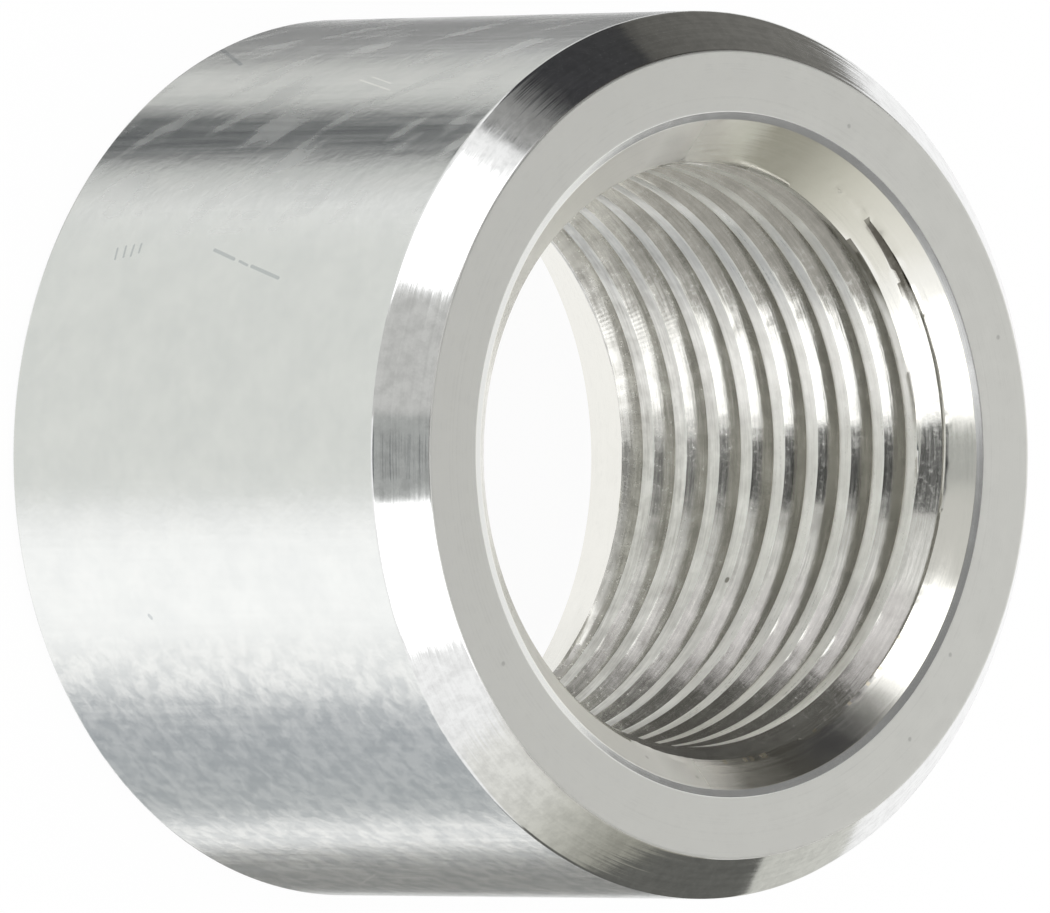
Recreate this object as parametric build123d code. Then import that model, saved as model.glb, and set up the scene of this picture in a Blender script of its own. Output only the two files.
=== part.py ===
from build123d import *
import math
import os

# Female weld bung turned from round aluminium bar, in millimetres.
# It stands on its plain end at Z = 0, with its axis on +Z and the end that is welded on top.
# The bore is modelled at the crests of its 1 1/16 - 12 thread, which is where a gauge pin would touch.

# Bar
BAR_DIAMETER = 38.1
LENGTH = 25.4
PLAIN_END_BREAK = 0.38

# Weld preparation round the outside of the top end
WELD_BEVEL_RADIAL = 1.73
WELD_BEVEL_AXIAL = 1.82

# Threaded bore, at the thread's crests
BORE_DIAMETER = 25.1

# Thread countersink in the top end, with a shallow lip where its edge was eased
COUNTERSINK_WIDTH = 1.8
COUNTERSINK_HALF_ANGLE = 45.0
LIP_WIDTH = 0.35
LIP_DROP = 0.08

# Sealing seat for a male fitting's O-ring in the plain end, and the lead-in to the first thread
SEAT_DEPTH = 3.3
SEAT_HALF_ANGLE = 15.0
SEAT_MOUTH_BREAK = 0.2
LEAD_WIDTH = 1.2
LEAD_HALF_ANGLE = 45.0

BORE_RADIUS = BORE_DIAMETER / 2
ON_AXIS = (Align.CENTER, Align.CENTER, Align.MIN)


def drum(radius, bottom_z, top_z):
    """Straight round length between two heights on the axis."""
    return Pos(0, 0, bottom_z) * Cylinder(radius, top_z - bottom_z, align=ON_AXIS)


def frustum(bottom_radius, top_radius, bottom_z, top_z):
    """Tapered round length between two heights on the axis."""
    return Pos(0, 0, bottom_z) * Cone(bottom_radius, top_radius, top_z - bottom_z, align=ON_AXIS)


def cone_length(width, half_angle):
    """Axial length over which a cone of this half angle, in degrees, closes by a radial width."""
    return width / math.tan(math.radians(half_angle))


def turned_blank():
    """Bar faced to length, with its bottom edge broken and its top edge bevelled for the weld."""
    bar_radius = BAR_DIAMETER / 2
    bevel_bottom = LENGTH - WELD_BEVEL_AXIAL
    broken_edge = frustum(bar_radius - PLAIN_END_BREAK, bar_radius, 0, PLAIN_END_BREAK)
    barrel = drum(bar_radius, PLAIN_END_BREAK, bevel_bottom)
    weld_bevel = frustum(bar_radius, bar_radius - WELD_BEVEL_RADIAL, bevel_bottom, LENGTH)
    return broken_edge + barrel + weld_bevel


def sealing_end_cut():
    """Eased mouth, O-ring seat and lead-in to the thread, cut up from the plain end."""
    seat_top_radius = BORE_RADIUS + LEAD_WIDTH
    mouth_radius = seat_top_radius + SEAT_DEPTH * math.tan(math.radians(SEAT_HALF_ANGLE))
    lead_top = SEAT_DEPTH + cone_length(LEAD_WIDTH, LEAD_HALF_ANGLE)
    mouth = frustum(mouth_radius + SEAT_MOUTH_BREAK, mouth_radius - SEAT_MOUTH_BREAK, 0, 2 * SEAT_MOUTH_BREAK)
    seat = frustum(mouth_radius, seat_top_radius, 0, SEAT_DEPTH)
    lead = frustum(seat_top_radius, BORE_RADIUS, SEAT_DEPTH, lead_top)
    return mouth + seat + lead


def weld_end_cut():
    """Thread countersink sunk from the top face, with its shallow eased lip."""
    countersink_radius = BORE_RADIUS + COUNTERSINK_WIDTH
    lip_bottom = LENGTH - LIP_DROP
    countersink_bottom = lip_bottom - cone_length(COUNTERSINK_WIDTH, COUNTERSINK_HALF_ANGLE)
    countersink = frustum(BORE_RADIUS, countersink_radius, countersink_bottom, lip_bottom)
    lip = frustum(countersink_radius, countersink_radius + LIP_WIDTH, lip_bottom, LENGTH)
    return countersink + lip


def weld_bung():
    """One turned piece: the blank, its bore and what is cut into the two ends of the bore."""
    bore = drum(BORE_RADIUS, 0, LENGTH)
    return turned_blank() - (bore + sealing_end_cut() + weld_end_cut())


os.makedirs("parts", exist_ok=True)
export_step(weld_bung(), "parts/weld_bung.step")
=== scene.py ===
import bpy
import math
import numpy as np
from mathutils import Matrix, Vector


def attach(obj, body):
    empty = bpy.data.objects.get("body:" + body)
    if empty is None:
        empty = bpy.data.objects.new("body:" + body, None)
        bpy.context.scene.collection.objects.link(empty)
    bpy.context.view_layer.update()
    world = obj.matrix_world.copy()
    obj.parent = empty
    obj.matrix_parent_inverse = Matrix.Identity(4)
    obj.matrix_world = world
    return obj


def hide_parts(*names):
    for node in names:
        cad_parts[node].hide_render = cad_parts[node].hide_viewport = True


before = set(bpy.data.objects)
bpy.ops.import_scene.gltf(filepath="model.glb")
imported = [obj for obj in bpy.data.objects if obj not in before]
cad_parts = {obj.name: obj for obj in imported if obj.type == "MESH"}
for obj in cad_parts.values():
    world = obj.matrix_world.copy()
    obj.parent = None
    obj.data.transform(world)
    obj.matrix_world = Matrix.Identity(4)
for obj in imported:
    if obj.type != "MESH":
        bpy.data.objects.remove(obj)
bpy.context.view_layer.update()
MM = 0.001


# Where the bung is seen from
# A long lens about 1.17 m away, at 42 degrees to the bore, with the bore lying level across the picture.
# The picture's upright is the bung's +Y, and its right side looks at the bevelled end.
SEEN_TOWARDS = Vector((0.66784, 0.00376, -0.74429))
PICTURE_UP = Vector((0.0, 0.99999, 0.00506))
CAMERA_PLACE = Vector((-783.92, -4.43, 885.80)) * MM
LENS_ON_36_MM = 931.6

to_camera = -SEEN_TOWARDS.normalized()
picture_right = PICTURE_UP.cross(to_camera).normalized()
picture_up = to_camera.cross(picture_right).normalized()
camera_data = bpy.data.cameras.new("photo_camera")
camera_data.lens = LENS_ON_36_MM
camera_data.sensor_width = 36.0
camera_data.clip_start = 0.05
camera_data.clip_end = 20.0
camera = bpy.data.objects.new("photo_camera", camera_data)
turn = Matrix((picture_right, picture_up, to_camera)).transposed().to_4x4()
camera.matrix_world = Matrix.Translation(CAMERA_PLACE) @ turn
bpy.context.scene.collection.objects.link(camera)
bpy.context.scene.camera = camera


# The bung's turned section
# One piece of round aluminium bar, faced, bevelled and bored in a lathe, then threaded through.
# The section is walked once round: up the bore, out over the top face, down the outside and in under the foot.
BAR_RADIUS = 19.05
LENGTH = 25.40
FOOT_EDGE = 0.38
BEVEL_FOOT = 23.58
BEVEL_TOP_RADIUS = 17.32
CREST_RADIUS = 12.55
COUNTERSINK_FOOT = 23.52
COUNTERSINK_TOP = 25.32
COUNTERSINK_RADIUS = 14.35
LIP_RADIUS = 14.70
SEAT_TOP = 3.30
SEAT_TOP_RADIUS = 13.75
LEAD_TOP = 4.50
MOUTH_HEIGHT = 0.273
MOUTH_RADIUS = 14.561
MOUTH_EDGE_RADIUS = 14.834
FOOT_EDGE_RADIUS = 18.67

# 1 1/16 - 12 thread, right hand: places are heights above a groove's middle, in mm
PITCH = 25.4 / 12
MAJOR_RADIUS = 13.49
ROOT_FLAT = 0.26
FLANK_SLOPE = 1 / math.tan(math.radians(30))
GROOVE_AT_THREE_OCLOCK = 14.715 + PITCH / 2
GROOVE_STATIONS = (-0.88, -0.74, -0.685, -0.64, -0.52, -0.38, -0.24, -0.13, 0.0,
                   0.13, 0.24, 0.38, 0.52, 0.64, 0.685, 0.74, 0.88, PITCH / 2)
CREST_STATION = 0.685

SURFACES = ("bore_seat", "cut_thread", "thread_crest", "countersink", "eased_lip", "faced_end", "weld_bevel",
            "mill_bar", "foot_edge", "foot_face")


def section_points():
    """The section's corner points as (radius, height, follows the thread, name of the surface that starts there)."""
    points = [
        (MOUTH_EDGE_RADIUS, 0.0, 0, "bore_seat"),
        (MOUTH_RADIUS, MOUTH_HEIGHT, 0, "bore_seat"),
        (MOUTH_RADIUS - 0.02, MOUTH_HEIGHT + 0.08, 0, "bore_seat"),
        (SEAT_TOP_RADIUS + 0.02, SEAT_TOP - 0.08, 0, "bore_seat"),
    ]
    first_turn = math.floor((SEAT_TOP - PITCH - GROOVE_AT_THREE_OCLOCK) / PITCH) - 1
    last_turn = math.ceil((COUNTERSINK_TOP - GROOVE_AT_THREE_OCLOCK) / PITCH) + 1
    for turn_number in range(first_turn, last_turn):
        for station in GROOVE_STATIONS:
            height = GROOVE_AT_THREE_OCLOCK + turn_number * PITCH + station
            if SEAT_TOP - PITCH - 0.2 < height < COUNTERSINK_TOP + 0.2:
                on_crest = station >= CREST_STATION or station < -CREST_STATION - 0.01
                points.append((CREST_RADIUS, height, 1, "thread_crest" if on_crest else "cut_thread"))
    points += [
        (COUNTERSINK_RADIUS + 0.03, COUNTERSINK_TOP + 0.007, 0, "eased_lip"),
        (LIP_RADIUS - 0.03, LENGTH - 0.007, 0, "eased_lip"),
        (LIP_RADIUS + 0.01, LENGTH, 0, "faced_end"),
        (LIP_RADIUS + 0.08, LENGTH, 0, "faced_end"),
        (BEVEL_TOP_RADIUS - 0.10, LENGTH, 0, "faced_end"),
        (BEVEL_TOP_RADIUS - 0.025, LENGTH, 0, "faced_end"),
        (BEVEL_TOP_RADIUS + 0.02, LENGTH - 0.022, 0, "weld_bevel"),
        (BEVEL_TOP_RADIUS + 0.07, LENGTH - 0.074, 0, "weld_bevel"),
        (BAR_RADIUS - 0.08, BEVEL_FOOT + 0.084, 0, "weld_bevel"),
        (BAR_RADIUS - 0.008, BEVEL_FOOT + 0.0084, 0, "weld_bevel"),
        (BAR_RADIUS, BEVEL_FOOT - 0.01, 0, "mill_bar"),
        (BAR_RADIUS, BEVEL_FOOT - 0.11, 0, "mill_bar"),
        (BAR_RADIUS, FOOT_EDGE + 0.12, 0, "mill_bar"),
        (BAR_RADIUS, FOOT_EDGE + 0.04, 0, "mill_bar"),
        (BAR_RADIUS - 0.03, FOOT_EDGE - 0.03, 0, "foot_edge"),
        (FOOT_EDGE_RADIUS + 0.03, 0.03, 0, "foot_edge"),
        (FOOT_EDGE_RADIUS - 0.03, 0.0, 0, "foot_face"),
        (FOOT_EDGE_RADIUS - 0.12, 0.0, 0, "foot_face"),
        (MOUTH_EDGE_RADIUS + 0.08, 0.0, 0, "foot_face"),
        (MOUTH_EDGE_RADIUS, 0.0, 0, "foot_face"),
    ]
    return points


def section_outline():
    """The section as an edge-only mesh, with what each point does stored on it."""
    points = section_points()
    mesh = bpy.data.meshes.new("bung_section")
    mesh.from_pydata([(r * MM, 0.0, z * MM) for r, z, _, _ in points],
                     [(i, i + 1) for i in range(len(points) - 1)], [])
    threaded = mesh.attributes.new("threaded", "FLOAT", "POINT")
    threaded.data.foreach_set("value", [float(t) for _, _, t, _ in points])
    surface = mesh.attributes.new("surface", "INT", "POINT")
    surface.data.foreach_set("value", [SURFACES.index(s) for _, _, _, s in points])
    return mesh


def turn_and_thread():
    """Node tree that sweeps the section round the bore and cuts the helical groove on the way."""
    tree = bpy.data.node_groups.new("turn_and_thread", "GeometryNodeTree")
    tree.interface.new_socket(name="Geometry", in_out="INPUT", socket_type="NodeSocketGeometry")
    tree.interface.new_socket(name="Geometry", in_out="OUTPUT", socket_type="NodeSocketGeometry")
    sizes = {
        "Steps Round": ("NodeSocketInt", 432),
        "Pitch": ("NodeSocketFloat", PITCH * MM),
        "Crest Radius": ("NodeSocketFloat", CREST_RADIUS * MM),
        "Major Radius": ("NodeSocketFloat", MAJOR_RADIUS * MM),
        "Root Flat": ("NodeSocketFloat", ROOT_FLAT * MM),
        "Flank Slope": ("NodeSocketFloat", FLANK_SLOPE),
        "First Groove": ("NodeSocketFloat", GROOVE_AT_THREE_OCLOCK * MM),
        "Thread Low End": ("NodeSocketFloat", SEAT_TOP * MM),
        "Thread High End": ("NodeSocketFloat", COUNTERSINK_TOP * MM),
        "Lead Top": ("NodeSocketFloat", LEAD_TOP * MM),
        "Countersink Foot": ("NodeSocketFloat", COUNTERSINK_FOOT * MM),
        "Edge Softness": ("NodeSocketFloat", 0.03 * MM),
        "Tear Depth": ("NodeSocketFloat", 0.012 * MM),
        "Chatter Depth": ("NodeSocketFloat", 0.045 * MM),
        "Crest Edge": ("NodeSocketFloat", CREST_STATION * MM),
        "Edge Ridge": ("NodeSocketFloat", 0.014 * MM),
        "Tear Seed": ("NodeSocketFloat", 4.0),
    }
    for name, (kind, value) in sizes.items():
        tree.interface.new_socket(name=name, in_out="INPUT", socket_type=kind).default_value = value
    enter = tree.nodes.new("NodeGroupInput")
    leave = tree.nodes.new("NodeGroupOutput")

    def put(node, socket, value):
        if isinstance(value, bpy.types.NodeSocket):
            tree.links.new(value, node.inputs[socket])
        else:
            node.inputs[socket].default_value = value

    def sum_of(operation, *terms):
        node = tree.nodes.new("ShaderNodeMath")
        node.operation = operation
        for place, term in enumerate(terms):
            put(node, place, term)
        return node.outputs[0]

    def read_section(name, kind, index):
        source = tree.nodes.new("GeometryNodeInputNamedAttribute")
        source.data_type = kind
        source.inputs["Name"].default_value = name
        sample = tree.nodes.new("GeometryNodeSampleIndex")
        sample.data_type = kind
        tree.links.new(enter.outputs["Geometry"], sample.inputs["Geometry"])
        tree.links.new(source.outputs[0], sample.inputs["Value"])
        tree.links.new(index, sample.inputs["Index"])
        return sample.outputs[0]

    size = {name: enter.outputs[name] for name in sizes}
    count = tree.nodes.new("GeometryNodeAttributeDomainSize")
    count.component = "MESH"
    tree.links.new(enter.outputs["Geometry"], count.inputs[0])
    rows = count.outputs["Point Count"]

    grid = tree.nodes.new("GeometryNodeMeshGrid")
    grid.inputs["Size X"].default_value = 1.0
    grid.inputs["Size Y"].default_value = 1.0
    put(grid, "Vertices X", sum_of("ADD", size["Steps Round"], 1.0))
    put(grid, "Vertices Y", rows)
    spot = tree.nodes.new("GeometryNodeInputPosition")
    split = tree.nodes.new("ShaderNodeSeparateXYZ")
    tree.links.new(spot.outputs[0], split.inputs[0])
    share_round = sum_of("ADD", split.outputs["X"], 0.5)
    row = sum_of("MULTIPLY", sum_of("ADD", split.outputs["Y"], 0.5), sum_of("SUBTRACT", rows, 1.0))
    row_number = sum_of("ROUND", row)
    strip_number = sum_of("FLOOR", row)

    mark = tree.nodes.new("GeometryNodeStoreNamedAttribute")
    mark.data_type = "INT"
    mark.domain = "FACE"
    mark.inputs["Name"].default_value = "surface"
    tree.links.new(grid.outputs["Mesh"], mark.inputs["Geometry"])
    put(mark, "Value", read_section("surface", "INT", strip_number))

    section_spot = tree.nodes.new("GeometryNodeSampleIndex")
    section_spot.data_type = "FLOAT_VECTOR"
    tree.links.new(enter.outputs["Geometry"], section_spot.inputs["Geometry"])
    section_place = tree.nodes.new("GeometryNodeInputPosition")
    tree.links.new(section_place.outputs[0], section_spot.inputs["Value"])
    tree.links.new(row_number, section_spot.inputs["Index"])
    section_split = tree.nodes.new("ShaderNodeSeparateXYZ")
    tree.links.new(section_spot.outputs[0], section_split.inputs[0])
    plain_radius = section_split.outputs["X"]
    plain_height = section_split.outputs["Z"]
    threaded = read_section("threaded", "FLOAT", row_number)

    angle = sum_of("MULTIPLY", share_round, 2 * math.pi)
    rise = sum_of("MULTIPLY", share_round, size["Pitch"])
    helix_height = sum_of("ADD", plain_height, rise)
    held_height = sum_of("MINIMUM", sum_of("MAXIMUM", helix_height, size["Thread Low End"]),
                         size["Thread High End"])
    lead = sum_of("MAXIMUM", sum_of("SUBTRACT", size["Lead Top"], held_height), 0.0)
    sink = sum_of("MAXIMUM", sum_of("SUBTRACT", held_height, size["Countersink Foot"]), 0.0)
    bored = sum_of("ADD", size["Crest Radius"], sum_of("ADD", lead, sink))

    turns = sum_of("DIVIDE", sum_of("SUBTRACT", sum_of("SUBTRACT", held_height, rise), size["First Groove"]),
                   size["Pitch"])
    round_place = tree.nodes.new("ShaderNodeCombineXYZ")
    tree.links.new(sum_of("MULTIPLY", sum_of("COSINE", angle), 12.5), round_place.inputs["X"])
    tree.links.new(sum_of("MULTIPLY", sum_of("SINE", angle), 12.5), round_place.inputs["Y"])
    put(round_place, "Z", sum_of("MULTIPLY", sum_of("ROUND", sum_of("ADD", turns, 0.5)), 7.3))
    chatter = tree.nodes.new("ShaderNodeTexNoise")
    tree.links.new(round_place.outputs[0], chatter.inputs["Vector"])
    chatter.inputs["Scale"].default_value = 0.9
    chatter.inputs["Detail"].default_value = 4.0
    wobble = sum_of("MULTIPLY", sum_of("SUBTRACT", chatter.outputs[0], 0.5), size["Chatter Depth"])
    off_middle = sum_of("ADD", wobble,
                        sum_of("MULTIPLY", sum_of("ABSOLUTE", sum_of("SUBTRACT", turns, sum_of("ROUND", turns))),
                               size["Pitch"]))
    up_flank = sum_of("MAXIMUM", sum_of("SUBTRACT", off_middle, sum_of("MULTIPLY", size["Root Flat"], 0.5)), 0.0)
    groove = sum_of("SUBTRACT", size["Major Radius"], sum_of("MULTIPLY", up_flank, size["Flank Slope"]))
    off_edge = sum_of("DIVIDE", sum_of("ABSOLUTE", sum_of("SUBTRACT", off_middle, size["Crest Edge"])), 0.05 * MM)
    below_sink = sum_of("LESS_THAN", held_height, size["Countersink Foot"])
    ridge = sum_of("MULTIPLY", sum_of("MULTIPLY", sum_of("MAXIMUM", sum_of("SUBTRACT", 1.0, off_edge), 0.0),
                                      size["Edge Ridge"]), below_sink)
    threaded_radius = sum_of("SUBTRACT", sum_of("SMOOTH_MAX", bored, groove, size["Edge Softness"]), ridge)

    pose = tree.nodes.new("ShaderNodeCombineXYZ")
    tree.links.new(sum_of("MULTIPLY", sum_of("COSINE", angle), 9.0), pose.inputs["X"])
    tree.links.new(sum_of("MULTIPLY", sum_of("SINE", angle), 9.0), pose.inputs["Y"])
    put(pose, "Z", sum_of("MULTIPLY", held_height, 900.0))
    tears = tree.nodes.new("ShaderNodeTexNoise")
    tears.noise_dimensions = "4D"
    tree.links.new(pose.outputs[0], tears.inputs["Vector"])
    put(tears, "W", size["Tear Seed"])
    tears.inputs["Scale"].default_value = 2.2
    tears.inputs["Detail"].default_value = 3.0
    tear = sum_of("MULTIPLY", sum_of("SUBTRACT", tears.outputs[0], 0.5), size["Tear Depth"])
    at_ends = sum_of("MULTIPLY", sum_of("GREATER_THAN", held_height, sum_of("ADD", size["Thread Low End"], 1e-5)),
                     sum_of("LESS_THAN", held_height, sum_of("SUBTRACT", size["Thread High End"], 1e-5)))
    torn_radius = sum_of("ADD", threaded_radius, sum_of("MULTIPLY", tear, at_ends))

    def chosen(plain, special):
        return sum_of("ADD", plain, sum_of("MULTIPLY", threaded, sum_of("SUBTRACT", special, plain)))

    radius = chosen(plain_radius, torn_radius)
    height = chosen(plain_height, held_height)
    place = tree.nodes.new("ShaderNodeCombineXYZ")
    put(place, "X", sum_of("MULTIPLY", radius, sum_of("COSINE", angle)))
    put(place, "Y", sum_of("MULTIPLY", radius, sum_of("SINE", angle)))
    put(place, "Z", height)
    move = tree.nodes.new("GeometryNodeSetPosition")
    tree.links.new(mark.outputs["Geometry"], move.inputs["Geometry"])
    tree.links.new(place.outputs[0], move.inputs["Position"])

    weld = tree.nodes.new("GeometryNodeMergeByDistance")
    weld.inputs["Distance"].default_value = 0.0015 * MM
    tree.links.new(move.outputs[0], weld.inputs["Geometry"])
    smooth = tree.nodes.new("GeometryNodeSetShadeSmooth")
    tree.links.new(weld.outputs[0], smooth.inputs["Geometry"])
    real = tree.nodes.new("GeometryNodeRealizeInstances")
    tree.links.new(smooth.outputs[0], real.inputs[0])
    shape = real.outputs[0]
    surface_mark = tree.nodes.new("GeometryNodeInputNamedAttribute")
    surface_mark.data_type = "INT"
    surface_mark.inputs["Name"].default_value = "surface"
    for number, name in enumerate(SURFACES):
        same = tree.nodes.new("FunctionNodeCompare")
        same.data_type = "INT"
        same.operation = "EQUAL"
        tree.links.new(surface_mark.outputs[0], same.inputs[2])
        same.inputs[3].default_value = number
        finish = tree.nodes.new("GeometryNodeSetMaterial")
        finish.inputs["Material"].default_value = FINISH_OF[name]
        tree.links.new(shape, finish.inputs["Geometry"])
        tree.links.new(same.outputs[0], finish.inputs["Selection"])
        shape = finish.outputs[0]

    face_spot = tree.nodes.new("GeometryNodeInputPosition")
    face_split = tree.nodes.new("ShaderNodeSeparateXYZ")
    tree.links.new(face_spot.outputs[0], face_split.inputs[0])
    x, y, z = face_split.outputs
    face_radius = sum_of("SQRT", sum_of("ADD", sum_of("MULTIPLY", x, x), sum_of("MULTIPLY", y, y)))
    sunk = sum_of("MAXIMUM", sum_of("SUBTRACT", z, size["Countersink Foot"]), 0.0)
    led = sum_of("MAXIMUM", sum_of("SUBTRACT", size["Lead Top"], z), 0.0)
    for depth, name in ((sunk, "countersink"), (led, "bore_seat")):
        off_cone = sum_of("ABSOLUTE", sum_of("SUBTRACT", sum_of("SUBTRACT", face_radius, size["Crest Radius"]), depth))
        chosen_faces = sum_of("MULTIPLY", sum_of("GREATER_THAN", depth, 0.01 * MM),
                              sum_of("LESS_THAN", off_cone, 0.03 * MM))
        finish = tree.nodes.new("GeometryNodeSetMaterial")
        finish.inputs["Material"].default_value = FINISH_OF[name]
        tree.links.new(shape, finish.inputs["Geometry"])
        tree.links.new(chosen_faces, finish.inputs["Selection"])
        shape = finish.outputs[0]
    tree.links.new(shape, leave.inputs[0])
    return tree


# The bung's finishes
# Everything is bare aluminium; what changes from surface to surface is how the metal was cut or drawn.
# The bar's own skin is low in shine and clouded, the cuts are bright with fine rings, and the end face is matte.
ALUMINIUM = (0.86, 0.865, 0.86, 1.0)


def bare_metal(name, roughness, colour=ALUMINIUM):
    """A new metal material, its tree, its shader and the position on the bung in millimetres."""
    material = bpy.data.materials.new(name)
    material.use_nodes = True
    tree = material.node_tree
    shader = tree.nodes["Principled BSDF"]
    shader.inputs["Metallic"].default_value = 1.0
    shader.inputs["Base Color"].default_value = colour
    shader.inputs["Roughness"].default_value = roughness
    place = tree.nodes.new("ShaderNodeTexCoord")
    in_mm = tree.nodes.new("ShaderNodeVectorMath")
    in_mm.operation = "SCALE"
    in_mm.inputs["Scale"].default_value = 1000.0
    tree.links.new(place.outputs["Object"], in_mm.inputs[0])
    return material, tree, shader, in_mm.outputs[0]


def shade_sum(tree, operation, *terms):
    """One step of arithmetic in a material."""
    node = tree.nodes.new("ShaderNodeMath")
    node.operation = operation
    for place, term in enumerate(terms):
        if isinstance(term, bpy.types.NodeSocket):
            tree.links.new(term, node.inputs[place])
        else:
            node.inputs[place].default_value = term
    return node.outputs[0]


def round_the_bore(tree, place):
    """Radius, angle in radians and height of a point on the bung, from its position in mm."""
    split = tree.nodes.new("ShaderNodeSeparateXYZ")
    tree.links.new(place, split.inputs[0])
    squares = shade_sum(tree, "ADD", shade_sum(tree, "MULTIPLY", split.outputs[0], split.outputs[0]),
                        shade_sum(tree, "MULTIPLY", split.outputs[1], split.outputs[1]))
    radius = shade_sum(tree, "SQRT", squares)
    angle = shade_sum(tree, "ARCTAN2", split.outputs[1], split.outputs[0])
    return radius, angle, split.outputs[2]


def three_numbers(tree, x, y, z):
    node = tree.nodes.new("ShaderNodeCombineXYZ")
    for place, term in enumerate((x, y, z)):
        if isinstance(term, bpy.types.NodeSocket):
            tree.links.new(term, node.inputs[place])
        else:
            node.inputs[place].default_value = term
    return node.outputs[0]


def cloud(tree, vector, scale, detail=2.0, rough=0.5, twist=0.0):
    node = tree.nodes.new("ShaderNodeTexNoise")
    tree.links.new(vector, node.inputs["Vector"])
    node.inputs["Scale"].default_value = scale
    node.inputs["Detail"].default_value = detail
    node.inputs["Roughness"].default_value = rough
    node.inputs["Distortion"].default_value = twist
    return node.outputs[0]


def between(tree, value, low, high, to_low, to_high):
    node = tree.nodes.new("ShaderNodeMapRange")
    tree.links.new(value, node.inputs["Value"])
    node.inputs["From Min"].default_value = low
    node.inputs["From Max"].default_value = high
    node.inputs["To Min"].default_value = to_low
    node.inputs["To Max"].default_value = to_high
    return node.outputs[0]


def tint(tree, value, dark, light):
    """Colour between two metals, by a value from 0 to 1."""
    ramp = tree.nodes.new("ShaderNodeValToRGB")
    ramp.color_ramp.elements[0].color = dark
    ramp.color_ramp.elements[1].color = light
    tree.links.new(value, ramp.inputs[0])
    return ramp.outputs[0]


def relief(tree, shader, height, depth_mm, strength=1.0):
    """Fine relief of the given depth in mm, on the shader's normal."""
    bump = tree.nodes.new("ShaderNodeBump")
    bump.inputs["Strength"].default_value = strength
    bump.inputs["Distance"].default_value = depth_mm * MM
    tree.links.new(height, bump.inputs["Height"])
    tree.links.new(bump.outputs[0], shader.inputs["Normal"])


def vector_step(tree, operation, first, second=None):
    """One step of vector arithmetic in a material."""
    node = tree.nodes.new("ShaderNodeVectorMath")
    node.operation = operation
    for place, term in enumerate((first, second)):
        if isinstance(term, bpy.types.NodeSocket):
            tree.links.new(term, node.inputs[place])
        elif term is not None:
            node.inputs[place].default_value = term
    return node


def spots(tree, place, centres, size_mm):
    """1 in small round spots at these places, falling to 0 round them."""
    total = 0.0
    for centre in centres:
        gap = vector_step(tree, "LENGTH", vector_step(tree, "SUBTRACT", place, centre).outputs[0]).outputs["Value"]
        total = shade_sum(tree, "ADD", total, between(tree, gap, size_mm * 0.5, size_mm, 1.0, 0.0))
    return total


def place_side(tree, place, side):
    """One coordinate of a place."""
    split = tree.nodes.new("ShaderNodeSeparateXYZ")
    tree.links.new(place, split.inputs[0])
    return split.outputs[side]


def on_bung(clock_degrees, radius, height):
    """A place on the bung, from its angle clockwise from the top, its radius and its height."""
    clock = math.radians(clock_degrees)
    return (radius * math.sin(clock), radius * math.cos(clock), height)


def turned_metal(name, roughness, ring_axis, rings_per_mm, ring_depth, patch, colour=ALUMINIUM,
                 painted_left_glow=0.0, stain=0.0, specks=()):
    """Metal cut in the lathe: fine rings across the cut, running round the bore, with a few longer patches.

    A painted left glow above 0 makes the left half partly non-metallic, painted light that brightens it. A stain above
    0 clouds the tone, and specks are dark."""
    material, tree, shader, place = bare_metal(name, roughness, colour)
    radius, angle, height = round_the_bore(tree, place)
    across = {"radius": radius, "height": height}[ring_axis]
    ring_place = three_numbers(tree, shade_sum(tree, "MULTIPLY", across, rings_per_mm),
                               shade_sum(tree, "MULTIPLY", shade_sum(tree, "COSINE", angle), 0.7),
                               shade_sum(tree, "MULTIPLY", shade_sum(tree, "SINE", angle), 0.7))
    rings = cloud(tree, ring_place, 1.0, 3.0, 0.6)
    patches = cloud(tree, place, 0.9, 3.0, 0.6)
    rough = shade_sum(tree, "ADD", between(tree, rings, 0.3, 0.7, -patch * 0.5, patch * 0.5),
                      between(tree, patches, 0.3, 0.7, roughness - patch * 0.5, roughness + patch * 0.5))
    tree.links.new(rough, shader.inputs["Roughness"])
    darker = tuple(c * 0.93 for c in colour[:3]) + (1.0,)
    tone = rings
    if stain > 0:
        film = cloud(tree, place, 1.6, 4.0, 0.65)
        tone = shade_sum(tree, "ADD", tone, between(tree, film, 0.35, 0.65, -stain, stain))
        darker = tuple(c * 0.72 for c in colour[:3]) + (1.0,)
        tone = between(tree, tone, -0.4, 0.75, 0.0, 1.0)
    if specks:
        tone = shade_sum(tree, "SUBTRACT", tone, spots(tree, place, specks, 0.13))
        darker = tuple(c * 0.72 for c in colour[:3]) + (1.0,)
        tone = between(tree, tone, -0.4, 0.75, 0.0, 1.0)
    tree.links.new(tint(tree, tone, darker, colour), shader.inputs["Base Color"])
    relief(tree, shader, rings, ring_depth)
    # Painted light: the left half turns partly non-metallic, so that it shows brighter
    if painted_left_glow > 0:
        split = tree.nodes.new("ShaderNodeSeparateXYZ")
        tree.links.new(place, split.inputs[0])
        shine = between(tree, split.outputs[0], -3.5, 1.2, 1.0 - painted_left_glow, 1.0)
        tree.links.new(shine, shader.inputs["Metallic"])
    return material


def line_mark(tree, spread, start, end, half_width):
    """1 on a short straight mark between two places on a surface laid flat, falling to 0 beside it."""
    start, end = Vector((*start, 0.0)), Vector((*end, 0.0))
    run = end - start
    off_start = vector_step(tree, "SUBTRACT", spread, start).outputs[0]
    share = shade_sum(tree, "DIVIDE", vector_step(tree, "DOT_PRODUCT", off_start, run).outputs["Value"],
                      run.length_squared)
    held = shade_sum(tree, "MINIMUM", shade_sum(tree, "MAXIMUM", share, 0.0), 1.0)
    nearest = vector_step(tree, "SCALE", run)
    tree.links.new(held, nearest.inputs["Scale"])
    gap = vector_step(tree, "LENGTH", vector_step(tree, "SUBTRACT", off_start, nearest.outputs[0]).outputs[0])
    return between(tree, gap.outputs["Value"], half_width * 0.4, half_width, 1.0, 0.0)


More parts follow.
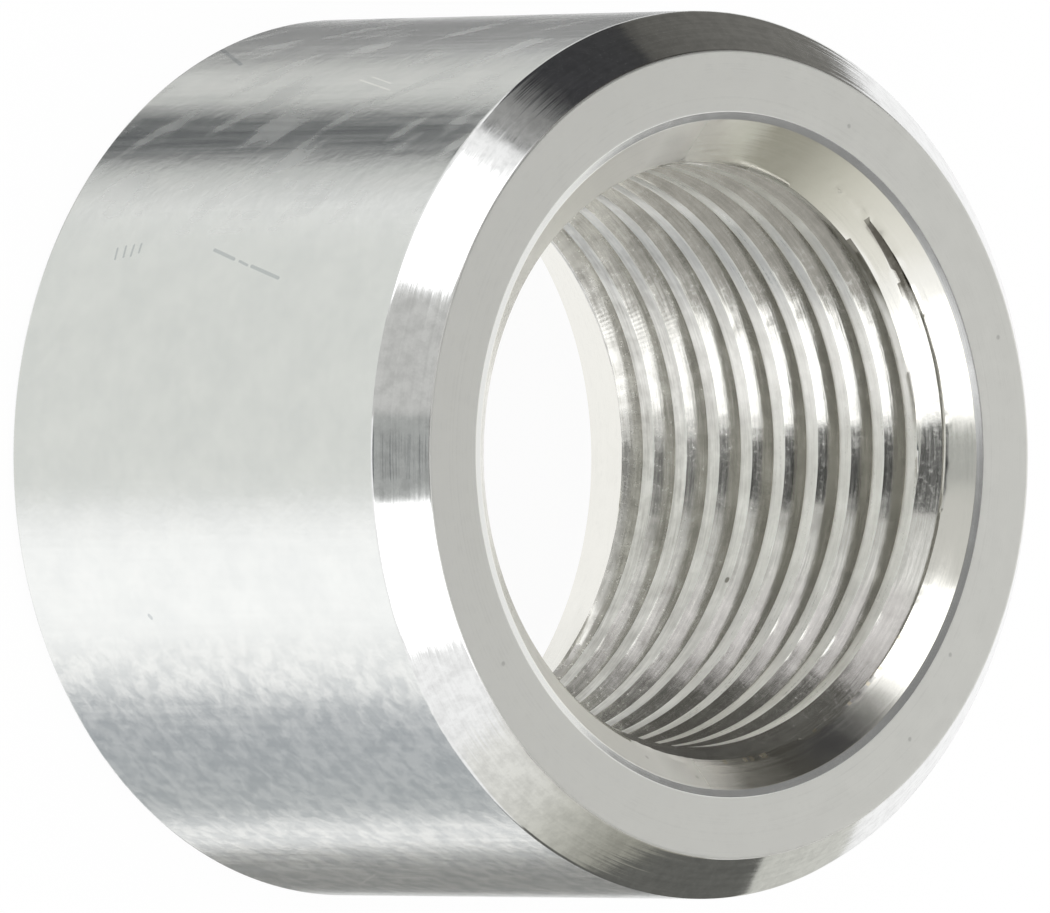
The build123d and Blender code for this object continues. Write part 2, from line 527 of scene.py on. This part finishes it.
# Marks on the bar's skin, as (height, arc from twelve o'clock) of both ends in mm, half width and how dark
BAR_MARKS = (
    ((0.5, -7.3), (3.5, -9.0), 0.12, 0.8),
    ((11.1, -20.74), (12.6, -21.2), 0.10, 0.7),
    ((13.0, -21.3), (13.6, -21.5), 0.08, 0.6),
    ((13.9, -21.55), (15.9, -22.13), 0.10, 0.7),
    ((4.7, -20.6), (4.8, -21.1), 0.08, 0.6),
    ((5.2, -20.5), (5.3, -21.0), 0.08, 0.6),
    ((5.7, -20.45), (5.75, -20.95), 0.08, 0.6),
    ((6.15, -20.4), (6.2, -20.8), 0.08, 0.5),
    ((7.8, -36.9), (7.9, -37.0), 0.12, 0.6),
    ((12.9, -10.66), (15.6, -11.53), 0.06, -0.5),
    ((13.4, -10.4), (15.2, -11.0), 0.05, -0.4),
    ((14.0, -6.6), (15.6, -4.9), 0.07, -0.6),
    ((6.3, -55.3), (9.2, -53.6), 0.07, -0.5),
)


def mill_bar_metal():
    """The drawn bar's skin: low in shine, softly mottled, with faint lines along the bar, rubbed smears and small
    marks.
    """
    material, tree, shader, place = bare_metal("mill_bar", 0.2)
    split = tree.nodes.new("ShaderNodeSeparateXYZ")
    tree.links.new(place, split.inputs[0])
    x, y, height = split.outputs
    clock_arc = shade_sum(tree, "MULTIPLY", shade_sum(tree, "ARCTAN2", x, y), BAR_RADIUS)
    spread = three_numbers(tree, height, clock_arc, 0.0)
    mottle = cloud(tree, place, 1.25, 3.0, 0.55, 0.3)
    blotch = cloud(tree, place, 0.42, 2.0, 0.5)
    drawn = cloud(tree, three_numbers(tree, shade_sum(tree, "MULTIPLY", x, 4.0),
                                      shade_sum(tree, "MULTIPLY", y, 4.0),
                                      shade_sum(tree, "MULTIPLY", height, 0.10)), 1.0, 2.0, 0.5)
    along = shade_sum(tree, "ADD", height, clock_arc)
    across = shade_sum(tree, "SUBTRACT", height, clock_arc)
    smears = cloud(tree, three_numbers(tree, shade_sum(tree, "MULTIPLY", across, 0.55),
                                       shade_sum(tree, "MULTIPLY", along, 0.17), 3.0), 1.0, 1.5, 0.4)
    upper = between(tree, y, 8.0, 11.0, 0.0, 1.0)
    smear = shade_sum(tree, "MULTIPLY", upper, between(tree, smears, 0.52, 0.66, 0.0, 1.0))
    under = between(tree, y, -7.5, -10.0, 0.0, 1.0)
    rough = shade_sum(tree, "ADD", between(tree, drawn, 0.35, 0.65, 0.19, 0.24),
                      shade_sum(tree, "MULTIPLY", smear, 0.09))
    tree.links.new(rough, shader.inputs["Roughness"])
    stain = shade_sum(tree, "MULTIPLY", between(tree, mottle, 0.38, 0.62, -0.5, 0.5),
                      shade_sum(tree, "ADD", 0.05, shade_sum(tree, "MULTIPLY", under, 0.50)))
    tone = shade_sum(tree, "ADD", shade_sum(tree, "ADD", 0.62, stain), between(tree, blotch, 0.35, 0.65, -0.05, 0.05))
    for start, end, half_width, dark in BAR_MARKS:
        mark = line_mark(tree, spread, start, end, half_width)
        tone = shade_sum(tree, "SUBTRACT", tone, shade_sum(tree, "MULTIPLY", mark, dark * 1.2))
    skin = tint(tree, tone, (0.60, 0.625, 0.63, 1.0), (0.95, 0.955, 0.93, 1.0))
    tree.links.new(skin, shader.inputs["Base Color"])
    grain = cloud(tree, place, 2.6, 3.0, 0.6)
    surface = shade_sum(tree, "ADD", shade_sum(tree, "MULTIPLY", mottle, 0.6), shade_sum(tree, "MULTIPLY", grain, 0.4))
    relief(tree, shader, surface, 0.012)
    return material


def thread_metal(name, roughness, across_groove, lines_per_mm):
    """Tapped metal: fine lines along the thread, torn flecks and a film of oil. Towards the far end it grows rougher,
    its mottling grows stronger and darker as painted shade deep in the bore, and it turns partly non-metallic, painted
    light that stands in for light bounced round the bore.
    """
    material, tree, shader, place = bare_metal(name, roughness)
    radius, angle, height = round_the_bore(tree, place)
    across = {"radius": radius, "height": height}[across_groove]
    round_x = shade_sum(tree, "MULTIPLY", shade_sum(tree, "COSINE", angle), 6.0)
    round_y = shade_sum(tree, "MULTIPLY", shade_sum(tree, "SINE", angle), 6.0)
    line_place = three_numbers(tree, shade_sum(tree, "MULTIPLY", across, lines_per_mm),
                               shade_sum(tree, "ADD", round_x, height), shade_sum(tree, "SUBTRACT", round_y, height))
    lines = cloud(tree, line_place, 1.0, 3.0, 0.6)
    film = cloud(tree, place, 0.85, 3.0, 0.6)
    fleck = cloud(tree, place, 4.5, 3.0, 0.7)
    depth = between(tree, height, 3.0, 15.0, 1.0, 0.0)
    # Painted shade: deeper in the bore the mottling grows stronger and darker
    painted_deep_shade = shade_sum(tree, "ADD", 0.35, shade_sum(tree, "MULTIPLY", depth, 0.65))
    tone = shade_sum(tree, "ADD", between(tree, lines, 0.3, 0.7, -0.25, 0.25),
                     between(tree, film, 0.35, 0.65, -0.22, 0.22))
    tone = shade_sum(tree, "ADD", tone, between(tree, fleck, 0.52, 0.75, 0.0, 0.15))
    tone = shade_sum(tree, "ADD", 0.72, shade_sum(tree, "MULTIPLY", tone, painted_deep_shade))
    # Darkens one stretch of the groove at 22.7 to 23.1 mm high, on the +Y side of the bore
    darkened_groove_patch = shade_sum(tree, "MULTIPLY", between(tree, height, 22.7, 23.1, 0.0, 1.0),
                            shade_sum(tree, "MULTIPLY", between(tree, place_side(tree, place, "Y"), 6.6, 7.4, 0.0, 1.0),
                                      between(tree, place_side(tree, place, "Y"), 11.6, 9.6, 0.0, 1.0)))
    tone = shade_sum(tree, "SUBTRACT", tone, shade_sum(tree, "MULTIPLY", darkened_groove_patch, 0.75))
    tone = shade_sum(tree, "SUBTRACT", tone, spots(tree, place, (on_bung(115.4, 12.55, 12.63),), 0.16))
    tree.links.new(tint(tree, tone, (0.26, 0.25, 0.22, 1.0), (0.99, 0.985, 0.945, 1.0)), shader.inputs["Base Color"])
    # Painted light: deeper in the bore the metal turns partly non-metallic, standing in for light bounced round the
    # bore
    tree.links.new(between(tree, depth, 0.0, 1.0, 0.97, 0.66), shader.inputs["Metallic"])
    rough = shade_sum(tree, "ADD", between(tree, lines, 0.3, 0.7, roughness - 0.04, roughness + 0.04),
                      shade_sum(tree, "ADD", shade_sum(tree, "MULTIPLY", depth, 0.08),
                                between(tree, fleck, 0.5, 0.75, 0.0, 0.12)))
    tree.links.new(rough, shader.inputs["Roughness"])
    rungs = shade_sum(tree, "SINE", shade_sum(tree, "MULTIPLY", angle, 12.5 * 2 * math.pi / 0.21))
    rung_zone = shade_sum(tree, "MULTIPLY", between(tree, height, 9.5, 8.5, 0.0, 1.0),
                          shade_sum(tree, "MULTIPLY", between(tree, place_side(tree, place, "Y"), 3.8, 4.6, 0.0, 1.0),
                                    between(tree, place_side(tree, place, "Y"), 6.9, 6.1, 0.0, 1.0)))
    ladder = shade_sum(tree, "MULTIPLY", rungs, shade_sum(tree, "MULTIPLY", rung_zone, 0.15))
    surface = shade_sum(tree, "ADD", shade_sum(tree, "MULTIPLY", lines, 0.8), shade_sum(tree, "MULTIPLY", fleck, 0.2))
    relief(tree, shader, shade_sum(tree, "ADD", surface, ladder), 0.006)
    return material


FACE_SPECKS = (on_bung(26.0, 15.72, 25.4), on_bung(139.9, 16.03, 25.4), on_bung(124.2, 15.37, 25.4),
               on_bung(72.0, 16.4, 25.4), on_bung(236.0, 15.9, 25.4))
CONE_SPECKS = (on_bung(186.5, 13.89, 24.86), on_bung(198.0, 13.6, 24.57))
CONE_METAL = (0.87, 0.86, 0.81, 1.0)
FINISHES = {
    "mill_bar": mill_bar_metal(),
    "bright_bevel": turned_metal("bright_bevel", 0.09, "height", 7.0, 0.006, 0.05, stain=0.35),
    "matte_face": turned_metal("matte_face", 0.38, "radius", 14.0, 0.003, 0.06, (0.815, 0.815, 0.79, 1.0),
                               stain=0.12, specks=FACE_SPECKS),
    # The cone's left half carries painted light: it is made partly non-metallic so that it shows brighter
    "bright_cone": turned_metal("bright_cone", 0.15, "height", 11.0, 0.003, 0.08, CONE_METAL, 0.55,
                                stain=0.12, specks=CONE_SPECKS),
    "bright_lip": turned_metal("bright_lip", 0.16, "height", 30.0, 0.002, 0.06),
    "thread_flanks": thread_metal("thread_flanks", 0.14, "radius", 10.0),
    "thread_crests": thread_metal("thread_crests", 0.30, "height", 8.0),
    "burr_gold": turned_metal("burr_gold", 0.25, "height", 9.0, 0.002, 0.06, (0.90, 0.84, 0.70, 1.0)),
}
FINISH_OF = {
    "bore_seat": FINISHES["bright_cone"], "cut_thread": FINISHES["thread_flanks"],
    "thread_crest": FINISHES["thread_crests"],
    "countersink": FINISHES["bright_cone"], "eased_lip": FINISHES["bright_lip"],
    "faced_end": FINISHES["matte_face"], "weld_bevel": FINISHES["bright_bevel"],
    "mill_bar": FINISHES["mill_bar"], "foot_edge": FINISHES["bright_bevel"],
    "foot_face": FINISHES["matte_face"],
}

section_object = bpy.data.objects.new("bung_section", section_outline())
bpy.context.scene.collection.objects.link(section_object)
turning = section_object.modifiers.new("turn_and_thread", "NODES")
turning.node_group = turn_and_thread()
turned = bpy.data.meshes.new_from_object(section_object.evaluated_get(bpy.context.evaluated_depsgraph_get()))
section_object.modifiers.remove(turning)
bpy.data.objects.remove(section_object)
turned.name = "turned_bung"


def run_out_lines(groove_middle):
    """Heights where a groove with its middle at this height breaks out of the countersink: front and rear."""
    front = (MAJOR_RADIUS - CREST_RADIUS + FLANK_SLOPE * (groove_middle + ROOT_FLAT / 2) + COUNTERSINK_FOOT) \
        / (1 + FLANK_SLOPE)
    root = MAJOR_RADIUS - CREST_RADIUS + COUNTERSINK_FOOT
    rear = (CREST_RADIUS - MAJOR_RADIUS - COUNTERSINK_FOOT + FLANK_SLOPE * (groove_middle - ROOT_FLAT / 2)) \
        / (FLANK_SLOPE - 1)
    lines = []
    if front > COUNTERSINK_FOOT:
        if front <= root:
            lines.append(("front", front))
        elif groove_middle - ROOT_FLAT / 2 < root:
            lines.append(("front", root))
    if COUNTERSINK_FOOT < rear < groove_middle - ROOT_FLAT / 2 and rear < root:
        lines.append(("rear", rear))
    return lines


def crisp_run_out(mesh):
    """Puts one point of every step round the bore on each line where the groove leaves the countersink.

    The front line carries a small ragged burr on the side that the tap left it. Returns the burr's points."""
    steps = 432
    spots = np.empty(len(mesh.vertices) * 3)
    mesh.vertices.foreach_get("co", spots)
    spots = spots.reshape(-1, 3)
    mm = spots * 1000
    radius = np.hypot(mm[:, 0], mm[:, 1])
    share = (np.arctan2(mm[:, 1], mm[:, 0]) / (2 * math.pi)) % 1.0
    step = np.round(share * steps).astype(int) % steps
    near = np.flatnonzero((mm[:, 2] > COUNTERSINK_FOOT - 0.25) & (mm[:, 2] < COUNTERSINK_TOP - 0.2) & (radius < 14.0))
    ragged = np.random.default_rng(11)
    teeth = ragged.random(steps) * 0.6 + ragged.random(steps // 3).repeat(3) * 0.4
    burr = []
    for column in range(steps):
        here = near[step[near] == column]
        rise = column / steps * PITCH
        clock = (90 - column / steps * 360) % 360
        for turn_number in range(2, 7):
            middle = GROOVE_AT_THREE_OCLOCK + turn_number * PITCH + rise
            for side, height in run_out_lines(middle):
                closest = here[np.argmin(np.abs(mm[here, 2] - height))]
                if abs(mm[closest, 2] - height) > 0.14:
                    continue
                cone = CREST_RADIUS + height - COUNTERSINK_FOOT
                lift = 0.0
                if side == "front" and 28 < clock < 200:
                    lift = 0.006 + 0.034 * teeth[column] ** 2
                    burr.append(int(closest))
                turn_angle = column / steps * 2 * math.pi
                spots[closest] = ((cone - lift) * math.cos(turn_angle) * MM, (cone - lift) * math.sin(turn_angle) * MM,
                                  (height + lift * 0.6) * MM)
                mm[closest] = spots[closest] * 1000
                here = here[here != closest]
    mesh.vertices.foreach_set("co", spots.ravel())
    mesh.update()
    return burr


burr_points = set(crisp_run_out(turned))
turned.materials.append(FINISHES["burr_gold"])
gold_slot = len(turned.materials) - 1
pick = np.random.default_rng(5)
for face in turned.polygons:
    if burr_points.intersection(face.vertices):
        clock = math.degrees(math.atan2(face.center.x, face.center.y)) % 360
        if 125 < clock < 180 and pick.random() < 0.2:
            face.material_index = gold_slot
turned.set_sharp_from_angle(angle=math.radians(28))
bung = bpy.data.objects.new("turned_bung", turned)
bpy.context.scene.collection.objects.link(bung)
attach(bung, "root")
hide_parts("weld_bung")


# The floor
# A plain white studio floor under the foot of the bung. It keeps a pale shadow.
FLOOR_REACH = 3.0
WHITE_SHARE = 0.95

floor_mesh = bpy.data.meshes.new("studio_floor")
floor_mesh.from_pydata([(-FLOOR_REACH, -FLOOR_REACH, -0.00002), (FLOOR_REACH, -FLOOR_REACH, -0.00002),
                        (FLOOR_REACH, FLOOR_REACH, -0.00002), (-FLOOR_REACH, FLOOR_REACH, -0.00002)],
                       [], [(0, 1, 2, 3)])
floor = bpy.data.objects.new("studio_floor", floor_mesh)
bpy.context.scene.collection.objects.link(floor)
floor_paint = bpy.data.materials.new("white_floor")
floor_paint.use_nodes = True
floor_tree = floor_paint.node_tree
floor_shader = floor_tree.nodes["Principled BSDF"]
floor_shader.inputs["Base Color"].default_value = (0.93, 0.93, 0.93, 1.0)
floor_shader.inputs["Roughness"].default_value = 0.9
floor_shader.inputs["Specular IOR Level"].default_value = 0.0
path = floor_tree.nodes.new("ShaderNodeLightPath")
seen = shade_sum(floor_tree, "MAXIMUM", path.outputs["Is Camera Ray"],
                 shade_sum(floor_tree, "MAXIMUM", path.outputs["Is Glossy Ray"], path.outputs["Is Transmission Ray"]))
glow = floor_tree.nodes.new("ShaderNodeEmission")
glow.inputs["Strength"].default_value = 1.0
blend = floor_tree.nodes.new("ShaderNodeMixShader")
floor_tree.links.new(shade_sum(floor_tree, "MULTIPLY", seen, WHITE_SHARE), blend.inputs[0])
floor_tree.links.new(floor_shader.outputs[0], blend.inputs[1])
floor_tree.links.new(glow.outputs[0], blend.inputs[2])
floor_tree.links.new(blend.outputs[0], floor_tree.nodes["Material Output"].inputs["Surface"])
floor_mesh.materials.append(floor_paint)
floor.visible_glossy = False


# The studio round it
# A white room with soft lamps, and plain grey and black cards where the real studio had its dark gaps.
# Everything is placed by its direction from the bung: degrees to the right of the camera, and degrees above it.
STAGE_MIDDLE = Vector((0.0, 0.0, 12.7)) * MM
LAMP_DISTANCE = 0.56

bpy.context.scene.view_settings.view_transform = "Standard"
world = bpy.data.worlds.new("white_room")
bpy.context.scene.world = world
world.use_nodes = True
room = world.node_tree
room.nodes["Background"].inputs["Color"].default_value = (1.0, 1.0, 1.0, 1.0)
room.nodes["Background"].inputs["Strength"].default_value = 1.0


def towards(right_degrees, up_degrees):
    """Direction from the bung, by degrees right of the camera and degrees above it."""
    right, up = math.radians(right_degrees), math.radians(up_degrees)
    return (picture_right * math.sin(right) * math.cos(up) + picture_up * math.sin(up)
            + to_camera * math.cos(right) * math.cos(up))


def reflected_sheet(name, points, faces, tones):
    """A sheet that shows only in reflections, with one tone for each of its points."""
    mesh = bpy.data.meshes.new(name)
    mesh.from_pydata([tuple(p) for p in points], [], faces)
    shades = mesh.attributes.new("shade", "FLOAT_VECTOR", "POINT")
    shades.data.foreach_set("vector", [level for tone in tones for level in tone])
    sheet = bpy.data.objects.new(name, mesh)
    bpy.context.scene.collection.objects.link(sheet)
    paint = bpy.data.materials.new(name)
    paint.use_nodes = True
    tree = paint.node_tree
    tree.nodes.remove(tree.nodes["Principled BSDF"])
    light = tree.nodes.new("ShaderNodeEmission")
    shade = tree.nodes.new("ShaderNodeAttribute")
    shade.attribute_name = "shade"
    tree.links.new(shade.outputs["Vector"], light.inputs["Color"])
    tree.links.new(light.outputs[0], tree.nodes["Material Output"].inputs["Surface"])
    mesh.materials.append(paint)
    sheet.visible_camera = False
    sheet.visible_diffuse = False
    sheet.visible_shadow = False


def card(name, right, up, left_tone, right_tone, far, strips=24):
    """A curved card over a range of directions, shaded evenly from its left tone to its right tone."""
    points, faces, tones = [], [], []
    for i in range(strips + 1):
        for j in range(strips + 1):
            spot = towards(right[0] + (right[1] - right[0]) * i / strips, up[0] + (up[1] - up[0]) * j / strips)
            points.append(STAGE_MIDDLE + spot * far)
            tones.append([a + (b - a) * i / strips for a, b in zip(left_tone, right_tone)])
    for i in range(strips):
        for j in range(strips):
            k = i * (strips + 1) + j
            faces.append((k, k + 1, k + strips + 2, k + strips + 1))
    reflected_sheet(name, points, faces, tones)


CARDS = {
    "camera_black": ((6, 30), (-7, 8), (0.05, 0.05, 0.05), (0.035, 0.035, 0.035), 0.44),
    "camera_black_left": ((-21, -11.5), (-4.5, 4.5), (0.06, 0.07, 0.08), (0.10, 0.11, 0.12), 0.44),
    "camera_surround": ((-20, 45), (-8.5, 8), (0.42, 0.43, 0.42), (0.42, 0.43, 0.42), 0.46),
    "grey_over_camera": ((-50, 30), (8, 32), (0.60, 0.60, 0.585), (0.60, 0.60, 0.585), 0.48),
    "beside_soft_box_low": ((30, 50), (20, 37), (0.74, 0.72, 0.73), (0.62, 0.60, 0.61), 0.49),
    "beside_soft_box_high": ((33, 48), (37, 60), (0.40, 0.39, 0.39), (0.22, 0.21, 0.21), 0.49),
    "ceiling": ((18, 152), (64, 90), (0.045, 0.045, 0.05), (0.055, 0.055, 0.055), 0.50),
    "ceiling_back": ((152, 330), (64, 90), (0.50, 0.50, 0.49), (0.50, 0.50, 0.49), 0.50),
    "ceiling_edge": ((21, 60), (60.5, 71), (0.42, 0.42, 0.41), (0.05, 0.05, 0.05), 0.48),
    "right_high": ((46, 110), (34, 66), (0.09, 0.088, 0.08), (0.055, 0.053, 0.048), 0.50),
    "behind_right_high": ((100, 152), (22, 66), (0.07, 0.068, 0.062), (0.20, 0.195, 0.18), 0.51),
    "behind_right_low": ((116, 176), (-90, -25), (0.55, 0.55, 0.50), (0.72, 0.72, 0.68), 0.50),
    "under_right_edge": ((92, 117), (-90, -50), (0.36, 0.355, 0.31), (0.30, 0.295, 0.25), 0.52),
    "under_right": ((54, 93), (-90, -46), (0.62, 0.615, 0.56), (0.36, 0.355, 0.31), 0.53),
    "under": ((10, 55), (-90, -46), (0.88, 0.875, 0.84), (0.62, 0.615, 0.56), 0.54),
    "right": ((50, 98), (-1, 34), (0.27, 0.27, 0.265), (0.22, 0.22, 0.215), 0.50),
    "right_lower": ((64.5, 98), (-24, -1), (0.27, 0.27, 0.265), (0.27, 0.27, 0.265), 0.50),
    "right_middle": ((80, 101), (-11, 11), (0.96, 0.96, 0.93), (0.96, 0.96, 0.93), 0.48),
    "right_low": ((33, 102), (-54, -26.5), (0.36, 0.35, 0.33), (0.40, 0.39, 0.36), 0.50),
    "right_back": ((98, 150), (-24, 21), (0.94, 0.94, 0.92), (0.94, 0.94, 0.92), 0.52),
    "left": ((-122, -55), (-8, 38), (0.79, 0.80, 0.775), (0.79, 0.80, 0.775), 0.50),
    "left_high": ((-166, -120), (22, 62), (0.72, 0.72, 0.70), (0.62, 0.625, 0.61), 0.51),
    "left_low": ((-154, -116), (-62, -33), (0.46, 0.48, 0.49), (0.42, 0.44, 0.47), 0.50),
    "behind_high": ((176, 197), (12, 34), (0.27, 0.27, 0.27), (0.27, 0.27, 0.27), 0.50),
    "behind_low": ((180, 196), (-36, -12), (0.26, 0.26, 0.25), (0.26, 0.26, 0.25), 0.50),
}
for name, (right, up, left_tone, right_tone, far) in CARDS.items():
    card(name, right, up, left_tone, right_tone, far)

# Two cards close to the bung: one under the bevel's lowest part, a dark sheet that is painted shade seen only in
# reflections, and one below the foot on the left
NEAR_CARDS = {
    "shade_under_bevel": (((-10, -45, -5), (33, -45, -5), (33, -45, 29.3), (-10, -45, 29.3)), (0.13, 0.13, 0.12)),
    "under_foot": (((-15.5, 25, -20), (-8.5, 25, -20), (-2, 60, -20), (-18.6, 60, -20)), (0.10, 0.105, 0.11)),
}
for name, (corners, tone) in NEAR_CARDS.items():
    reflected_sheet(name, [Vector(corner) * MM for corner in corners], [(0, 1, 2, 3)], [tone] * 4)

SOFT_BOXES = {
    "soft_box_above": (3.5, 46.0, 54.0, 25.0, 0.8),
    "soft_box_below": (5.0, -23.0, 54.0, 29.0, 0.8),
    "soft_box_left": (-103.0, -21.5, 36.0, 18.0, 0.12),
}
for name, (right, up, wide, tall, glow_level) in SOFT_BOXES.items():
    lamp_data = bpy.data.lights.new(name, "AREA")
    lamp_data.shape = "RECTANGLE"
    lamp_data.size = 2 * LAMP_DISTANCE * math.tan(math.radians(wide / 2))
    lamp_data.size_y = 2 * LAMP_DISTANCE * math.tan(math.radians(tall / 2))
    lamp_data.energy = glow_level * math.pi * lamp_data.size * lamp_data.size_y
    lamp = bpy.data.objects.new(name, lamp_data)
    outward = towards(right, up)
    sideways = picture_up.cross(outward).normalized()
    upward = outward.cross(sideways).normalized()
    lamp.matrix_world = (Matrix.Translation(STAGE_MIDDLE + outward * LAMP_DISTANCE)
                         @ Matrix((sideways, upward, outward)).transposed().to_4x4())
    lamp.visible_camera = False
    bpy.context.scene.collection.objects.link(lamp)
